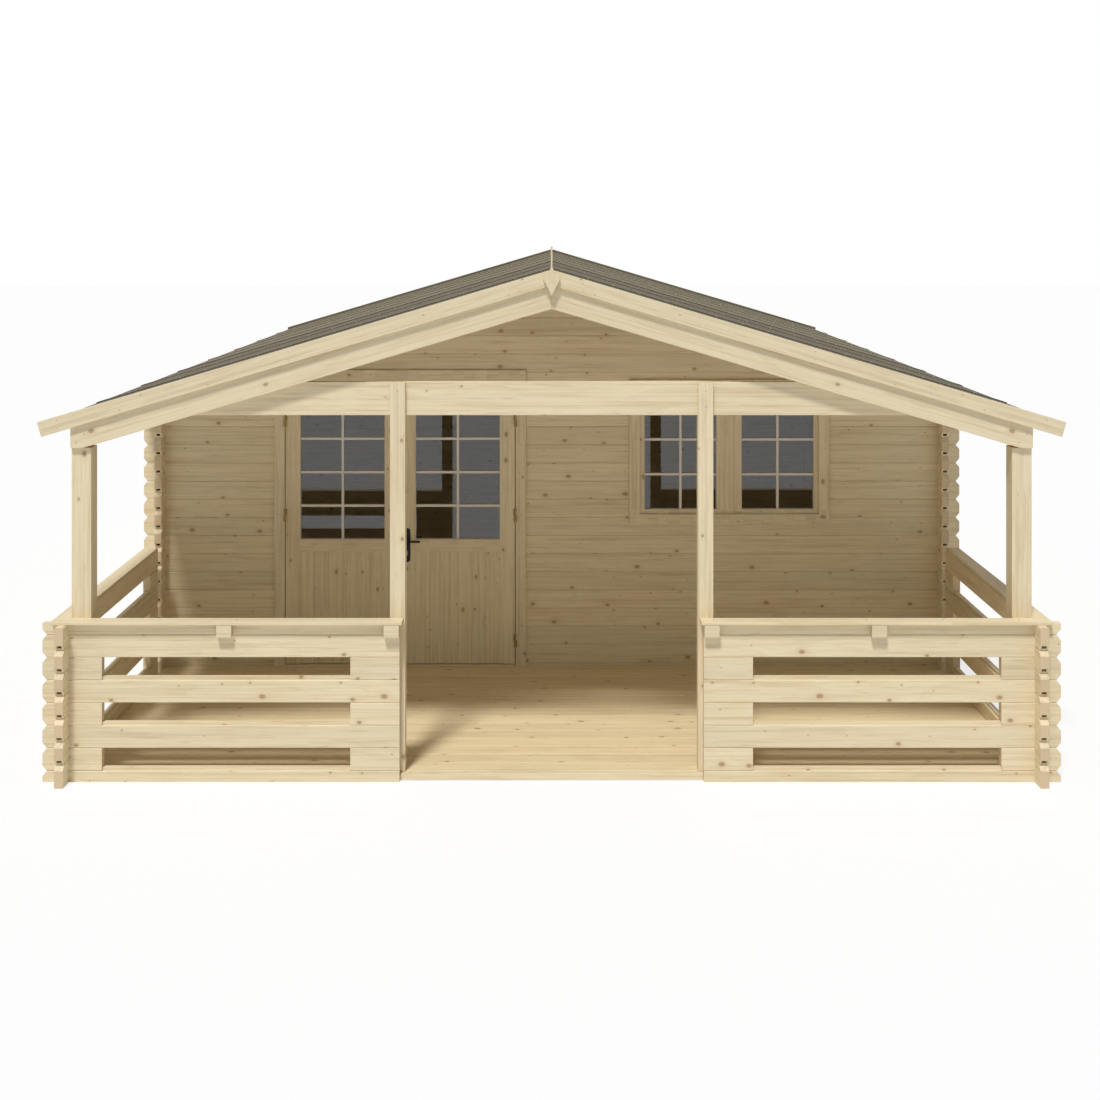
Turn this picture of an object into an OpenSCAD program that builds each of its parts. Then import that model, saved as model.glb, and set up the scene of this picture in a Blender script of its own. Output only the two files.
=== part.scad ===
// Log cabin with a roofed veranda: stacked logs crossing at the corners, a low gable roof,
// a double half-glazed door that opens outwards, a double window and slotted log rails.
// X runs along the front, Y from the veranda to the back, Z up from the ground.

/* [Logs] */
// Thickness of a wall log
log_t = 44; // [34:1:60]
// Height of a log from joint to joint
log_pitch = 114; // [108:1:124]
// Logs in the height of a side wall
wall_logs = 16; // [15:1:18]
// Logs in the height of a veranda rail
rail_logs = 7; // [6:1:8]
// Length of a log past the centre line of the wall that it crosses
log_over = 110; // [90:1:140]
// Depth of the groove along each log joint
joint_groove = 4; // [2:0.5:7]
// Length cut off the corners of a log's end
tip_cut = 22; // [10:1:30]
// Width of the tongue groove that shows in a log's end
end_groove_w = 26; // [16:1:30]
// Height of the tongue groove that shows in a log's end
end_groove_h = 15; // [8:1:22]

/* [Plan] */
// Distance between the centre lines of the side walls
cabin_w = 4900; // [4700:10:5400]
// Distance between the centre lines of the front and back walls
cabin_d = 4900; // [3000:10:6000]
// Distance from the front rail's centre line to the front wall's centre line
porch_d = 1840; // [1600:10:2600]
// Thickness of the floor boards
floor_t = 18; // [15:1:28]
// Height of the bearers under the floor boards
bearer_h = 18; // [12:1:24]
// Width of a floor bearer
bearer_w = 60; // [40:1:90]
// Bearers under each floor
bearer_count = 6; // [4:1:9]

/* [Roof] */
// Pitch of the roof in degrees
roof_pitch = 16.5; // [14:0.5:20]
// Thickness of the roof boards
deck_t = 18; // [15:1:24]
// Thickness of the roofing felt
felt_t = 4; // [2:0.5:6]
// Width of one felt sheet between its laps
felt_sheet = 900; // [600:10:1200]
// Width of a lap between two felt sheets
felt_lap = 90; // [60:1:140]
// Distance from a side wall's centre line to the end of the roof boards
eaves_over = 96; // [90:1:200]
// Distance from the back wall's centre line to the back end of the roof boards
back_over = 250; // [180:1:400]
// Thickness of the bargeboards and eaves boards
barge_t = 20; // [16:1:28]
// Width of a bargeboard, square to the slope
barge_w = 77; // [60:1:110]
// Width of an eaves board
eaves_w = 50; // [40:1:90]
// Overhang of the bargeboards past the eaves boards
barge_over = 24; // [0:1:40]
// Height of the bargeboards' top edge over the roof boards
barge_rise = 22; // [0:1:40]
// Height planed off a side wall's top log at its outer face
top_log_planed = 22; // [0:1:25]
// Overhang of the felt past the eaves boards
felt_over = 5; // [2:0.5:8]
// Overhang of a felt lap past the eaves boards
lap_over = 10; // [4:0.5:14]

/* [Roof frame] */
// Thickness of rafters, purlins and beams
beam_t = 45; // [38:1:60]
// Distance of the rafters' front face behind the front rail's centre line
rafter_set = 2; // [0:0.5:8]
// Depth of a front rafter, square to the slope
rafter_d = 152; // [130:1:170]
// Height of the tie beam
tie_h = 170; // [140:1:190]
// Length of the tie beam
tie_w = 4200; // [3800:10:4300]
// Height of the tie beam's underside over the ground
tie_z = 1835; // [1780:1:1880]
// Height of the ridge purlin
ridge_h = 165; // [140:1:180]
// Height of a side purlin
purlin_h = 145; // [110:1:160]
// Distance from the ridge to a side purlin's centre line
purlin_x = 1225; // [1100:5:1300]

/* [Veranda] */
// Side of a square corner post
corner_post = 100; // [80:1:120]
// Width of an inner post
inner_post_w = 77; // [60:1:90]
// Depth of an inner post
inner_post_d = 75; // [70:1:90]
// Clear width of the entrance between the inner posts
entrance_w = 1482; // [1300:2:1600]
// Length of an inner post's face that shows past the rail's end
post_reveal = 24; // [10:1:40]
// Distance from a side wall's centre line to the outer end of a front rail slot
front_slot_out = 189; // [150:1:300]
// Distance from a front rail's inner end to the near end of its slots
front_slot_in = 247; // [180:1:320]
// Distance from the front rail's centre line to the near end of a side rail slot
side_slot_in = 190; // [140:1:300]
// Distance from the far end of a side rail slot to the rail's end
side_slot_out = 171; // [120:1:260]
// Gap between a side rail's end and the log ends of the cabin's side wall
side_rail_gap = 77; // [20:1:140]
// Width of the tongue that shows on the log under a slot
tongue_w = 24; // [14:1:28]
// Height of the tongue that shows on the log under a slot
tongue_h = 15; // [8:1:20]
// Thickness of a rail cap
cap_t = 16; // [12:1:24]
// Width of a rail cap
cap_w = 82; // [70:1:110]
// Width of a block under a rail cap
block_w = 76; // [50:1:90]
// Height of a block under a rail cap
block_h = 63; // [40:1:80]
// Depth of a block under a rail cap
block_d = 36; // [20:1:38]
// Distance from the rail's inner end to its second block
block_step = 838; // [700:2:950]
// Depth of the sill across the entrance
entry_sill_d = 34; // [26:1:40]

/* [Door] */
// Centre line of the door along the front
door_x = -949; // [-960:1:-930]
// Width of a door leaf
leaf_w = 714; // [680:1:730]
// Thickness of a door leaf
leaf_t = 40; // [36:1:44]
// Gap round a closed leaf
door_gap = 5; // [5:0.5:7]
// Gap between the two leaves
meet_gap = 8; // [8:0.5:10]
// Width of a leaf's stiles
stile_w = 92; // [80:1:110]
// Height of a leaf's top rail
top_rail = 145; // [100:1:160]
// Height of the glass in a leaf
door_glass_h = 840; // [780:1:880]
// Height of the lock rail under the glass
lock_rail = 80; // [70:1:110]
// Depth of the boarded lower panel behind the stiles
panel_set = 7; // [4:0.5:10]
// Boards in a leaf's lower panel
panel_boards = 6; // [4:1:8]
// Width of the groove between two boards
board_groove = 5; // [3:0.5:8]
// Thickness of the door and window glass
glass_t = 4; // [3:0.5:6]
// Depth of the groove that holds a pane
glass_seat = 8; // [5:0.5:12]
// Height of the threshold over the floor
threshold_h = 14; // [10:1:20]

/* [Frames] */
// Thickness of the frame boards in a wall opening
jamb_t = 30; // [24:1:36]
// Width of the outer casing
casing_w = 66; // [60:1:70]
// Thickness of the outer casing
casing_t = 20; // [16:1:24]
// Width of the inner casing
inner_casing_w = 50; // [42:1:60]
// Thickness of the inner casing
inner_casing_t = 14; // [10:1:18]
// Width of the stop behind the door leaves
stop_w = 12; // [10:1:15]
// Height of the door's head casing
door_head_casing = 70; // [64:1:90]

/* [Window] */
// Centre line of the window along the front
window_x = 1114; // [1090:1:1140]
// Width of the opening between the window's side frames
window_w = 1154; // [1100:2:1180]
// Height of the opening between the window's sill and head
window_h = 763; // [700:1:790]
// Width of the mullion between the sashes
mullion_w = 66; // [50:2:90]
// Thickness of a sash
sash_t = 40; // [36:1:44]
// Width of a sash's stiles and bottom rail
sash_w = 45; // [40:1:55]
// Height of a sash's top rail
sash_top = 62; // [48:1:75]
// Width by which the casing laps the sashes
sash_lap = 17; // [12:1:20]
// Height of the window's head casing
window_head_casing = 114; // [100:1:120]

/* [Hinges and handle] */
// Radius of a hinge barrel
hinge_r = 7; // [6:0.5:8]
// Radius of a hinge pin
hinge_pin_r = 4; // [3:0.5:4.5]
// Height of one half of a hinge
hinge_half = 40; // [30:1:50]
// Width of a hinge plate from the pin's axis
hinge_plate_w = 12; // [9:1:40]
// Thickness of a hinge plate
hinge_plate_t = 3; // [2:0.5:3.5]
// Height of the handle's back plate
plate_h = 213; // [180:1:230]
// Width of the handle's back plate
plate_w = 40; // [34:1:46]
// Thickness of the handle's back plate
plate_t = 4; // [3:0.5:6]
// Distance from the leaf's meeting edge to the lever's axis
lever_inset = 40; // [34:1:46]
// Height of the lever's axis under the glass
lever_drop = 6; // [0:1:20]
// Length of the lever from its axis
lever_l = 78; // [60:1:110]
// Radius of the lever bar
lever_r = 7; // [5:0.5:9]
// Distance from the leaf's face to the lever bar's centre
lever_out = 42; // [34:1:55]
// Radius of the lever's neck where it turns in the plate
neck_r = 9; // [8:0.5:11]
// Radius of the spindle through the leaf
spindle_r = 5; // [4:0.5:6]

/* [Finial] */
// Thickness of the finial board
finial_t = 18; // [12:1:24]
// Width of the finial's kite
kite_w = 85; // [60:1:110]
// Height of the finial's kite
kite_h = 133; // [100:1:160]
// Height of the spike over the kite
spike_h = 116; // [80:1:140]
// Width of the spike
spike_w = 8; // [6:0.5:12]
// Radius of the bead at the foot of the spike
bead_r = 8; // [6:0.5:11]
// Height of the kite's lower tip under the bargeboards' top edge
kite_drop = 129; // [110:1:150]

/* [Hidden] */
// Overrun of every cut past the faces that it opens
overrun = 5;
// Radial clearance of pins and necks that turn in a bore
turn_clear = 0.05;
// Clearance between a hinge barrel and the faces behind it, and between two barrel halves
barrel_clear = 0.3;
// Clearance round the spindle in its hole through the leaf
spindle_clear = 2;
// Length of a hinge pin that stands in the upper barrel
pin_l = 28;
// Height of a log end's cut corner as a share of the log pitch
tip_h_share = 0.245;
// Place of the tongue groove over its joint as a share of the log pitch
end_groove_share = 0.065;
// Height of the kite's widest level as a share of the kite's height
kite_wide_share = 0.624;
// Place of the rafter's seat across a corner post as a share of the post
seat_share = 0.4;
// Height of the lever's axis in the back plate as a share of the plate
plate_axis_share = 0.64;
// Spacing of the floor bearers from wall to wall as a share of the clear width
bearer_span_share = 0.9;
// Heights of the hinges over the leaf's bottom, as shares of the leaf's height
hinge_shares = [0.083, 0.527, 0.865];
// Radius of the bead on the tip of the spike as a share of the one at its foot
tip_bead_share = 0.75;

// Facets of every round piece and bore
fine = 48;
half_pitch = log_pitch / 2;
// Half the height of the notch where two logs cross
notch_half = half_pitch / 2;
half_log = log_t / 2;
half_w = cabin_w / 2;
log_half = half_w + log_over;
wall_top = wall_logs * log_pitch;
rail_top = rail_logs * log_pitch;
gable_z = wall_top + half_pitch;
inner_x = half_w - half_log;
outer_x = half_w + half_log;
tip_h = tip_h_share * log_pitch;
end_groove_z = end_groove_share * log_pitch;

// Plan: the rail, the front wall and the back wall, centred front to back on the origin
total_d = log_over + porch_d + cabin_d + back_over + barge_t;
rail_y = log_over - total_d / 2;
front_y = rail_y + porch_d;
back_y = front_y + cabin_d;
rail_face = rail_y + half_log;

// Roof planes
roof_tan = tan(roof_pitch);
roof_cos = cos(roof_pitch);
deck_v = deck_t / roof_cos;
felt_v = felt_t / roof_cos;
barge_v = barge_w / roof_cos;
rafter_v = rafter_d / roof_cos;
ridge_under = wall_top - top_log_planed + outer_x * roof_tan;
barge_top = deck_v + barge_rise;
deck_x = half_w + eaves_over;
eaves_x = deck_x + barge_t;
barge_x = eaves_x + barge_over;
// Half the width that the roof planes cover, over the log ends as well
roof_half = max(deck_x, log_half);
barge_back = rail_y + rafter_set;
barge_front = barge_back - barge_t;
deck_end = back_y + back_over;
rafter_front = barge_back;
rafter_back = rafter_front + beam_t;
// Depth by which a felt lap is pressed into the sheet under it
lap_seat = felt_v / 2;

// Veranda
floor_z = bearer_h + floor_t;
post_x = inner_x - corner_post;
seat_z = ridge_under - rafter_v - (post_x + seat_share * corner_post) * roof_tan;
post_in = entrance_w / 2;
rail_end = post_in + post_reveal;
cap_lip = (cap_w - log_t) / 2;
tie_top = tie_z + tie_h;
side_rail_l = porch_d - log_over - side_rail_gap;
side_slot_l = side_rail_l - side_slot_in - side_slot_out;
front_slot_l = half_w - front_slot_out - rail_end - front_slot_in;

// Door
door_half = leaf_w + meet_gap / 2 + door_gap;
door_open = door_half + jamb_t;
threshold_z = floor_z + threshold_h;
leaf_z = threshold_z + door_gap;
head_h = gable_z - wall_top;
leaf_top = gable_z - head_h - door_gap;
leaf_h = leaf_top - leaf_z;
wall_face = front_y - half_log;
leaf_y = wall_face - casing_t;
leaf_back = leaf_y + leaf_t;
stop_y = leaf_back + door_gap;
inner_face = front_y + half_log;
glass_top = leaf_top - top_rail;
glass_low = glass_top - door_glass_h;
glass_w = leaf_w - 2 * stile_w;
panel_top = glass_low - lock_rail;
hinge_y = leaf_y - hinge_r - barrel_clear;
hinge_x = door_half - door_gap / 2;
hinge_heights = [for (share = hinge_shares) leaf_z + share * leaf_h];
lever_z = glass_low - lever_drop;
lever_x = door_x + meet_gap / 2 + lever_inset;

// Window
window_open = window_w / 2 + jamb_t;
window_head = gable_z - log_pitch - jamb_t;
window_low = window_head - window_h;
sash_y = wall_face;

spruce = [0.86, 0.77, 0.60];
planed = [0.89, 0.81, 0.64];
felt_grey = [0.33, 0.31, 0.28];
brass = [0.72, 0.58, 0.30];
bronze = [0.17, 0.14, 0.12];
pane = [0.55, 0.62, 0.66, 0.45];

// Height of the roof boards' underside over a point along the front
function roof_under(x) = ridge_under - abs(x) * roof_tan;

// Height of an eaves board's lower edge
function eaves_low() = roof_under(eaves_x) + deck_v - eaves_w;

// A plain board between two corners
module board(low, high) {
    translate(low) cube(high - low);
}

// A flat outline in X and Z, given a thickness along Y
module upright(y_low, y_high) {
    translate([0, y_high, 0]) rotate([90, 0, 0]) linear_extrude(y_high - y_low) children();
}

// The same piece on both sides of the ridge
module both_sides() {
    for (side = [0, 1]) mirror([side, 0, 0]) children();
}

// Section across a stack of logs, with a groove along each joint
module log_section(height, first_joint) {
    difference() {
        translate([-half_log, 0]) square([log_t, height]);
        for (z = [first_joint : log_pitch : height], side = [-1, 1])
            translate([side * half_log, z]) polygon([
                [-joint_groove, 0],
                [0, joint_groove],
                [joint_groove, 0],
                [0, -joint_groove]
            ]);
    }
}

// A stack of logs along X, cut to the outline in X and Z that is given as a child
module log_stack(low, high, height, first_joint) {
    intersection() {
        translate([low - overrun, 0, 0]) rotate([90, 0, 90])
            linear_extrude(high - low + 2 * overrun) log_section(height, first_joint);
        upright(-half_log - overrun, half_log + overrun) children();
    }
}

// Cut corners at the end of each log, in X and Z
module tip_cuts(tip, side, height, first_joint) {
    for (z = [first_joint : log_pitch : height])
        translate([tip, z]) polygon([
            [-side * tip_cut, 0],
            [0, tip_h],
            [side * overrun, tip_h],
            [side * overrun, -tip_h],
            [0, -tip_h]
        ]);
}

// Openings for the logs of a crossing wall, in X and Z
module crossing_cuts(place, height, first_cut) {
    for (z = [first_cut : log_pitch : height])
        translate([place - half_log, z]) square([log_t, half_pitch]);
}

// Tongue grooves that run into the ends of the logs as far as the crossing wall
module end_grooves(tip, side, height, first_joint) {
    depth = log_over - half_log;
    for (z = [first_joint : log_pitch : height])
        translate([side > 0 ? tip - depth : tip - overrun, -end_groove_w / 2, z + end_groove_z])
            cube([depth + overrun, end_groove_w, end_groove_h]);
}

// Everything under the roof boards, in X and Z
module under_roof() {
    polygon([
        [-roof_half, 0],
        [roof_half, 0],
        [roof_half, roof_under(roof_half)],
        [0, ridge_under],
        [-roof_half, roof_under(roof_half)]
    ]);
}

// Notches for the purlins, in X and Z, open at the roof
module ridge_notch() {
    translate([-beam_t / 2, ridge_under - ridge_h]) square([beam_t, ridge_h + overrun]);
}

module purlin_notch() {
    translate([purlin_x - beam_t / 2, roof_under(purlin_x) - purlin_h])
        square([beam_t, purlin_h + beam_t]);
}

// Whole outline of a gable wall in X and Z
module gable_outline() {
    difference() {
        intersection() {
            translate([-log_half, 0]) square([2 * log_half, ridge_under]);
            under_roof();
        }
        for (side = [-1, 1]) {
            tip_cuts(side * log_half, side, wall_top, half_pitch);
            crossing_cuts(side * half_w, wall_top - half_pitch, notch_half);
        }
        ridge_notch();
        both_sides() {
            purlin_notch();
            translate([deck_x, eaves_low()]) square([log_over, log_pitch]);
        }
    }
}

module gable_wall() {
    difference() {
        log_stack(-log_half, log_half, ridge_under, half_pitch) children();
        for (side = [-1, 1]) end_grooves(side * log_half, side, wall_top - log_pitch, half_pitch);
    }
}

// A piece of a gable wall between two heights and two uprights
module gable_piece(low_x, high_x, low_z, high_z) {
    gable_wall() intersection() {
        gable_outline();
        translate([low_x, low_z]) square([high_x - low_x, high_z - low_z]);
    }
}

module front_piece(low_x, high_x, low_z, high_z) {
    color(spruce) translate([0, front_y, 0]) gable_piece(low_x, high_x, low_z, high_z);
}

module front_wall_left() {
    front_piece(-log_half, door_x - door_open, 0, gable_z);
}

module front_wall_middle() {
    front_piece(door_x + door_open, window_x - window_open, 0, gable_z);
}

module front_wall_right() {
    front_piece(window_x + window_open, log_half, 0, gable_z);
}

module front_wall_sill() {
    front_piece(window_x - window_open, window_x + window_open, 0, window_low - jamb_t);
}

module window_lintel() {
    front_piece(window_x - window_open, window_x + window_open, window_head + jamb_t, gable_z);
}

module front_gable() {
    front_piece(-log_half, log_half, gable_z, ridge_under);
}

module back_wall() {
    color(spruce) translate([0, back_y, 0]) gable_piece(-log_half, log_half, 0, gable_z);
}

module back_gable() {
    color(spruce) translate([0, back_y, 0]) gable_piece(-log_half, log_half, gable_z, ridge_under);
}

// A side wall lies along X here, is turned to run along Y and has its top planed to the roof
module side_wall() {
    low = front_y - log_over;
    high = back_y + log_over;
    eaves_z = roof_under(inner_x);
    intersection() {
        translate([half_w, 0, 0]) rotate([0, 0, 90]) difference() {
            log_stack(low, high, eaves_z, log_pitch) difference() {
                translate([low, 0]) square([high - low, eaves_z]);
                tip_cuts(low, -1, wall_top - log_pitch, log_pitch);
                tip_cuts(high, 1, wall_top - log_pitch, log_pitch);
                for (place = [front_y, back_y]) crossing_cuts(place, wall_top, -notch_half);
            }
            end_grooves(low, -1, wall_top - log_pitch, log_pitch);
            end_grooves(high, 1, wall_top - log_pitch, log_pitch);
        }
        upright(low - overrun, high + overrun) under_roof();
    }
}

module right_wall() {
    color(spruce) side_wall();
}

module left_wall() {
    color(spruce) mirror([1, 0, 0]) side_wall();
}

// Joints of a rail that have a slot over them: every second log is left out
function slot_joints(first) = [first : 2 * log_pitch : rail_top - log_pitch - half_pitch];

// Slots in a rail, in X and Z
module rail_slots(first, low, length) {
    for (z = slot_joints(first)) translate([low, z]) square([length, log_pitch]);
}

// Tongues that stand free on the logs under the slots
module slot_tongues(first, low, length) {
    for (z = slot_joints(first))
        board([low - overrun, -tongue_w / 2, z - overrun],
            [low + length + overrun, tongue_w / 2, z + tongue_h]);
}

// Right half of the front rail, beside the entrance
module front_rail() {
    translate([0, rail_y, 0]) {
        difference() {
            log_stack(rail_end, log_half, rail_top, half_pitch) difference() {
                translate([rail_end, 0]) square([log_half - rail_end, rail_top]);
                tip_cuts(log_half, 1, rail_top, half_pitch);
                crossing_cuts(half_w, rail_top, notch_half);
                rail_slots(half_pitch, rail_end + front_slot_in, front_slot_l);
            }
            end_grooves(log_half, 1, rail_top - log_pitch, half_pitch);
        }
        slot_tongues(half_pitch, rail_end + front_slot_in, front_slot_l);
    }
}

module front_rail_right() {
    color(spruce) front_rail();
}

module front_rail_left() {
    color(spruce) mirror([1, 0, 0]) front_rail();
}

module side_rail() {
    low = rail_y - log_over;
    high = rail_y + side_rail_l;
    translate([half_w, 0, 0]) rotate([0, 0, 90]) {
        difference() {
            log_stack(low, high, rail_top, log_pitch) difference() {
                translate([low, 0]) square([high - low, rail_top]);
                tip_cuts(low, -1, rail_top - log_pitch, log_pitch);
                crossing_cuts(rail_y, rail_top, -notch_half);
                rail_slots(log_pitch, rail_y + side_slot_in, side_slot_l);
            }
            end_grooves(low, -1, rail_top - log_pitch, log_pitch);
        }
        slot_tongues(log_pitch, rail_y + side_slot_in, side_slot_l);
    }
}

module side_rail_right() {
    color(spruce) side_rail();
}

module side_rail_left() {
    color(spruce) mirror([1, 0, 0]) side_rail();
}

// Caps are flush with the inner face of the rails and stand out past the outer one
module front_rail_caps() {
    color(planed) both_sides() board(
        [rail_end - cap_t, rail_face - cap_w, rail_top],
        [inner_x + cap_w, rail_face, rail_top + cap_t]
    );
}

module side_rail_caps() {
    color(planed) both_sides() board(
        [inner_x, rail_face, rail_top],
        [inner_x + cap_w, rail_y + side_rail_l, rail_top + cap_t]
    );
}

module cap_blocks() {
    back = rail_face - log_t;
    color(planed) both_sides() for (place = [rail_end, rail_end + block_step])
        board([place, back - block_d, rail_top - block_h], [place + block_w, back, rail_top]);
}

module corner_posts() {
    color(spruce) both_sides()
        board([post_x, rail_face, floor_z], [inner_x, rail_face + corner_post, seat_z]);
}

// An inner post carries the tie beam on a shoulder and laps it in front with a tongue
module inner_posts() {
    color(spruce) both_sides() {
        board([post_in, rail_face, floor_z], [post_in + inner_post_w, rail_face + inner_post_d, tie_z]);
        board([post_in, rail_face, tie_z], [post_in + inner_post_w, rafter_back, tie_top]);
    }
}

module tie_beam() {
    color(planed) upright(rafter_back, rafter_back + beam_t) intersection() {
        translate([-tie_w / 2, tie_z]) square([tie_w, tie_h]);
        under_roof();
    }
}

// Eaves beams lie on the corner posts and run back to the front wall
module eaves_beams() {
    color(spruce) both_sides() upright(rafter_back, wall_face) intersection() {
        translate([inner_x - beam_t, seat_z]) square([beam_t, roof_under(inner_x - beam_t)]);
        under_roof();
    }
}

module front_rafter() {
    upright(rafter_front, rafter_back) polygon([
        [0, ridge_under],
        [inner_x, roof_under(inner_x)],
        [inner_x, seat_z],
        [post_x + seat_share * corner_post, seat_z],
        [0, ridge_under - rafter_v]
    ]);
}

module front_rafter_right() {
    color(planed) front_rafter();
}

module front_rafter_left() {
    color(planed) mirror([1, 0, 0]) front_rafter();
}

module ridge_purlin() {
    color(spruce) upright(rafter_back, deck_end) intersection() {
        ridge_notch();
        under_roof();
    }
}

module side_purlins() {
    color(spruce) both_sides() upright(rafter_back, deck_end) intersection() {
        purlin_notch();
        under_roof();
    }
}

// A layer that follows one roof slope, from the ridge to an upright end
module slope_layer(end_x, bottom, top, y_low, y_high) {
    upright(y_low, y_high) polygon([
        [0, ridge_under + bottom],
        [end_x, roof_under(end_x) + bottom],
        [end_x, roof_under(end_x) + top],
        [0, ridge_under + top]
    ]);
}

module roof_boards_right() {
    color(spruce) slope_layer(deck_x, 0, deck_v, barge_back, deck_end);
}

module roof_boards_left() {
    color(spruce) mirror([1, 0, 0]) slope_layer(deck_x, 0, deck_v, barge_back, deck_end);
}

// Felt sheets run from the ridge to the eaves between the bargeboards and lap each other
module roof_felt() {
    top = deck_v + felt_v;
    slope_layer(eaves_x + felt_over, deck_v, top, barge_back, deck_end);
    for (y = [barge_back + felt_sheet : felt_sheet : deck_end - felt_lap])
        slope_layer(eaves_x + lap_over, top - lap_seat, top + felt_v, y, y + felt_lap);
}

module roof_felt_right() {
    color(felt_grey) roof_felt();
}

module roof_felt_left() {
    color(felt_grey) mirror([1, 0, 0]) roof_felt();
}

module eaves_boards() {
    color(planed) both_sides() upright(barge_back, deck_end) polygon([
        [deck_x, roof_under(deck_x) + deck_v],
        [eaves_x, roof_under(eaves_x) + deck_v],
        [eaves_x, eaves_low()],
        [deck_x, eaves_low()]
    ]);
}

// A bargeboard stands over the felt and is cut upright at the ridge and square at the eaves
module bargeboard(y_low) {
    end_z = roof_under(barge_x) + barge_top;
    upright(y_low, y_low + barge_t) polygon([
        [0, ridge_under + barge_top],
        [barge_x, end_z],
        [barge_x - barge_w * sin(roof_pitch), end_z - barge_w * roof_cos],
        [0, ridge_under + barge_top - barge_v]
    ]);
}

module front_bargeboard_right() {
    color(planed) bargeboard(barge_front);
}

module front_bargeboard_left() {
    color(planed) mirror([1, 0, 0]) bargeboard(barge_front);
}

module back_bargeboard_right() {
    color(planed) bargeboard(deck_end);
}

module back_bargeboard_left() {
    color(planed) mirror([1, 0, 0]) bargeboard(deck_end);
}

// A kite-shaped board with a beaded spike hides the joint of the bargeboards
module finial() {
    wide = kite_wide_share * kite_h;
    tip = kite_h + spike_h - bead_r;
    low = ridge_under + barge_top - kite_drop;
    color(planed) translate([0, 0, low]) upright(barge_front - finial_t, barge_front) {
        polygon([
            [0, 0],
            [kite_w / 2, wide],
            [spike_w / 2, kite_h],
            [-spike_w / 2, kite_h],
            [-kite_w / 2, wide]
        ]);
        translate([-spike_w / 2, wide]) square([spike_w, tip - wide]);
        translate([0, kite_h]) circle(bead_r, $fn = fine);
        translate([0, tip]) circle(tip_bead_share * bead_r, $fn = fine);
    }
}

module cabin_floor() {
    color(spruce) board([-inner_x, inner_face, bearer_h], [inner_x, back_y - half_log, floor_z]);
}

module veranda_floor() {
    color(spruce) board([-inner_x, rail_y + entry_sill_d, bearer_h], [inner_x, wall_face, floor_z]);
}

module floor_bearers() {
    span = 2 * inner_x * bearer_span_share;
    ends = [[rail_y + entry_sill_d, wall_face], [inner_face, back_y - half_log]];
    color(spruce) for (i = [0 : bearer_count - 1], end = ends) {
        x = -span / 2 + i * span / (bearer_count - 1);
        board([x - bearer_w / 2, end[0], 0], [x + bearer_w / 2, end[1], bearer_h]);
    }
}

module entrance_sill() {
    color(spruce) board([-rail_end, rail_y, 0], [rail_end, rail_y + entry_sill_d, floor_z]);
}

// Three-sided surround in X and Z, open at the bottom
module surround(inside, low, top, width, head) {
    difference() {
        translate([-inside - width, low]) square([2 * (inside + width), top + head - low]);
        translate([-inside, low - overrun]) square([2 * inside, top - low + overrun]);
    }
}

module door_frame() {
    top = leaf_top + door_gap;
    color(planed) translate([door_x, 0, 0]) {
        upright(leaf_y, wall_face) surround(door_half, floor_z, top, casing_w, door_head_casing);
        upright(wall_face, inner_face) surround(door_half, threshold_z, top, jamb_t, gable_z - top);
        upright(stop_y, inner_face) surround(door_half - stop_w, threshold_z, top - stop_w, stop_w, stop_w);
        upright(inner_face, inner_face + inner_casing_t)
            surround(door_half, floor_z, top, inner_casing_w, door_head_casing);
    }
}

// The threshold stands on the ground between the wall's ends and has a nosing under the leaves
module door_threshold() {
    color(spruce) {
        board([door_x - door_open, wall_face, 0], [door_x + door_open, inner_face, threshold_z]);
        board([door_x - door_half, leaf_y, floor_z], [door_x + door_half, wall_face, threshold_z]);
    }
}

// Lower hinge half with its pin, on the casing at the left of the left leaf
module frame_hinge() {
    translate([0, hinge_y, -hinge_half]) {
        cylinder(r = hinge_r, h = hinge_half - barrel_clear, $fn = fine);
        cylinder(r = hinge_pin_r, h = hinge_half + pin_l, $fn = fine);
    }
    board([-hinge_plate_w, leaf_y - hinge_plate_t, -hinge_half], [0, leaf_y, -barrel_clear]);
}

// Upper hinge half with its bore, on the face of the left leaf
module leaf_hinge() {
    difference() {
        union() {
            translate([0, hinge_y, 0]) cylinder(r = hinge_r, h = hinge_half, $fn = fine);
            board([0, leaf_y - hinge_plate_t, 0], [hinge_plate_w, leaf_y, hinge_half]);
        }
        translate([0, hinge_y, -overrun])
            cylinder(r = hinge_pin_r + turn_clear, h = overrun + pin_l + barrel_clear, $fn = fine);
    }
}

module at_left_hinges() {
    for (z = hinge_heights) translate([-hinge_x, 0, z]) children();
}

module frame_hinges() {
    color(brass) translate([door_x, 0, 0]) both_sides() at_left_hinges() frame_hinge();
}

module left_leaf_hinges() {
    color(brass) translate([door_x, 0, 0]) at_left_hinges() leaf_hinge();
}

module right_leaf_hinges() {
    color(brass) translate([door_x, 0, 0]) mirror([1, 0, 0]) at_left_hinges() leaf_hinge();
}

// Right leaf, with its meeting edge at the left: a glazed upper half over a boarded panel
module leaf() {
    low = meet_gap / 2;
    stile = low + stile_w;
    board_w = glass_w / panel_boards;
    difference() {
        board([low, leaf_y, leaf_z], [low + leaf_w, leaf_back, leaf_top]);
        board([stile, leaf_y - overrun, glass_low], [stile + glass_w, leaf_back + overrun, glass_top]);
        pane_solid();
        for (face = [leaf_y - overrun, leaf_back - panel_set])
            board([stile, face, leaf_z - overrun],
                [stile + glass_w, face + panel_set + overrun, panel_top]);
        for (i = [1 : panel_boards - 1], face = [leaf_y + panel_set, leaf_back - panel_set])
            translate([stile + i * board_w, face, leaf_z - overrun])
                rotate(45) translate([-board_groove / 2, -board_groove / 2, 0])
                    cube([board_groove, board_groove, panel_top - leaf_z + overrun]);
    }
}

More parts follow.
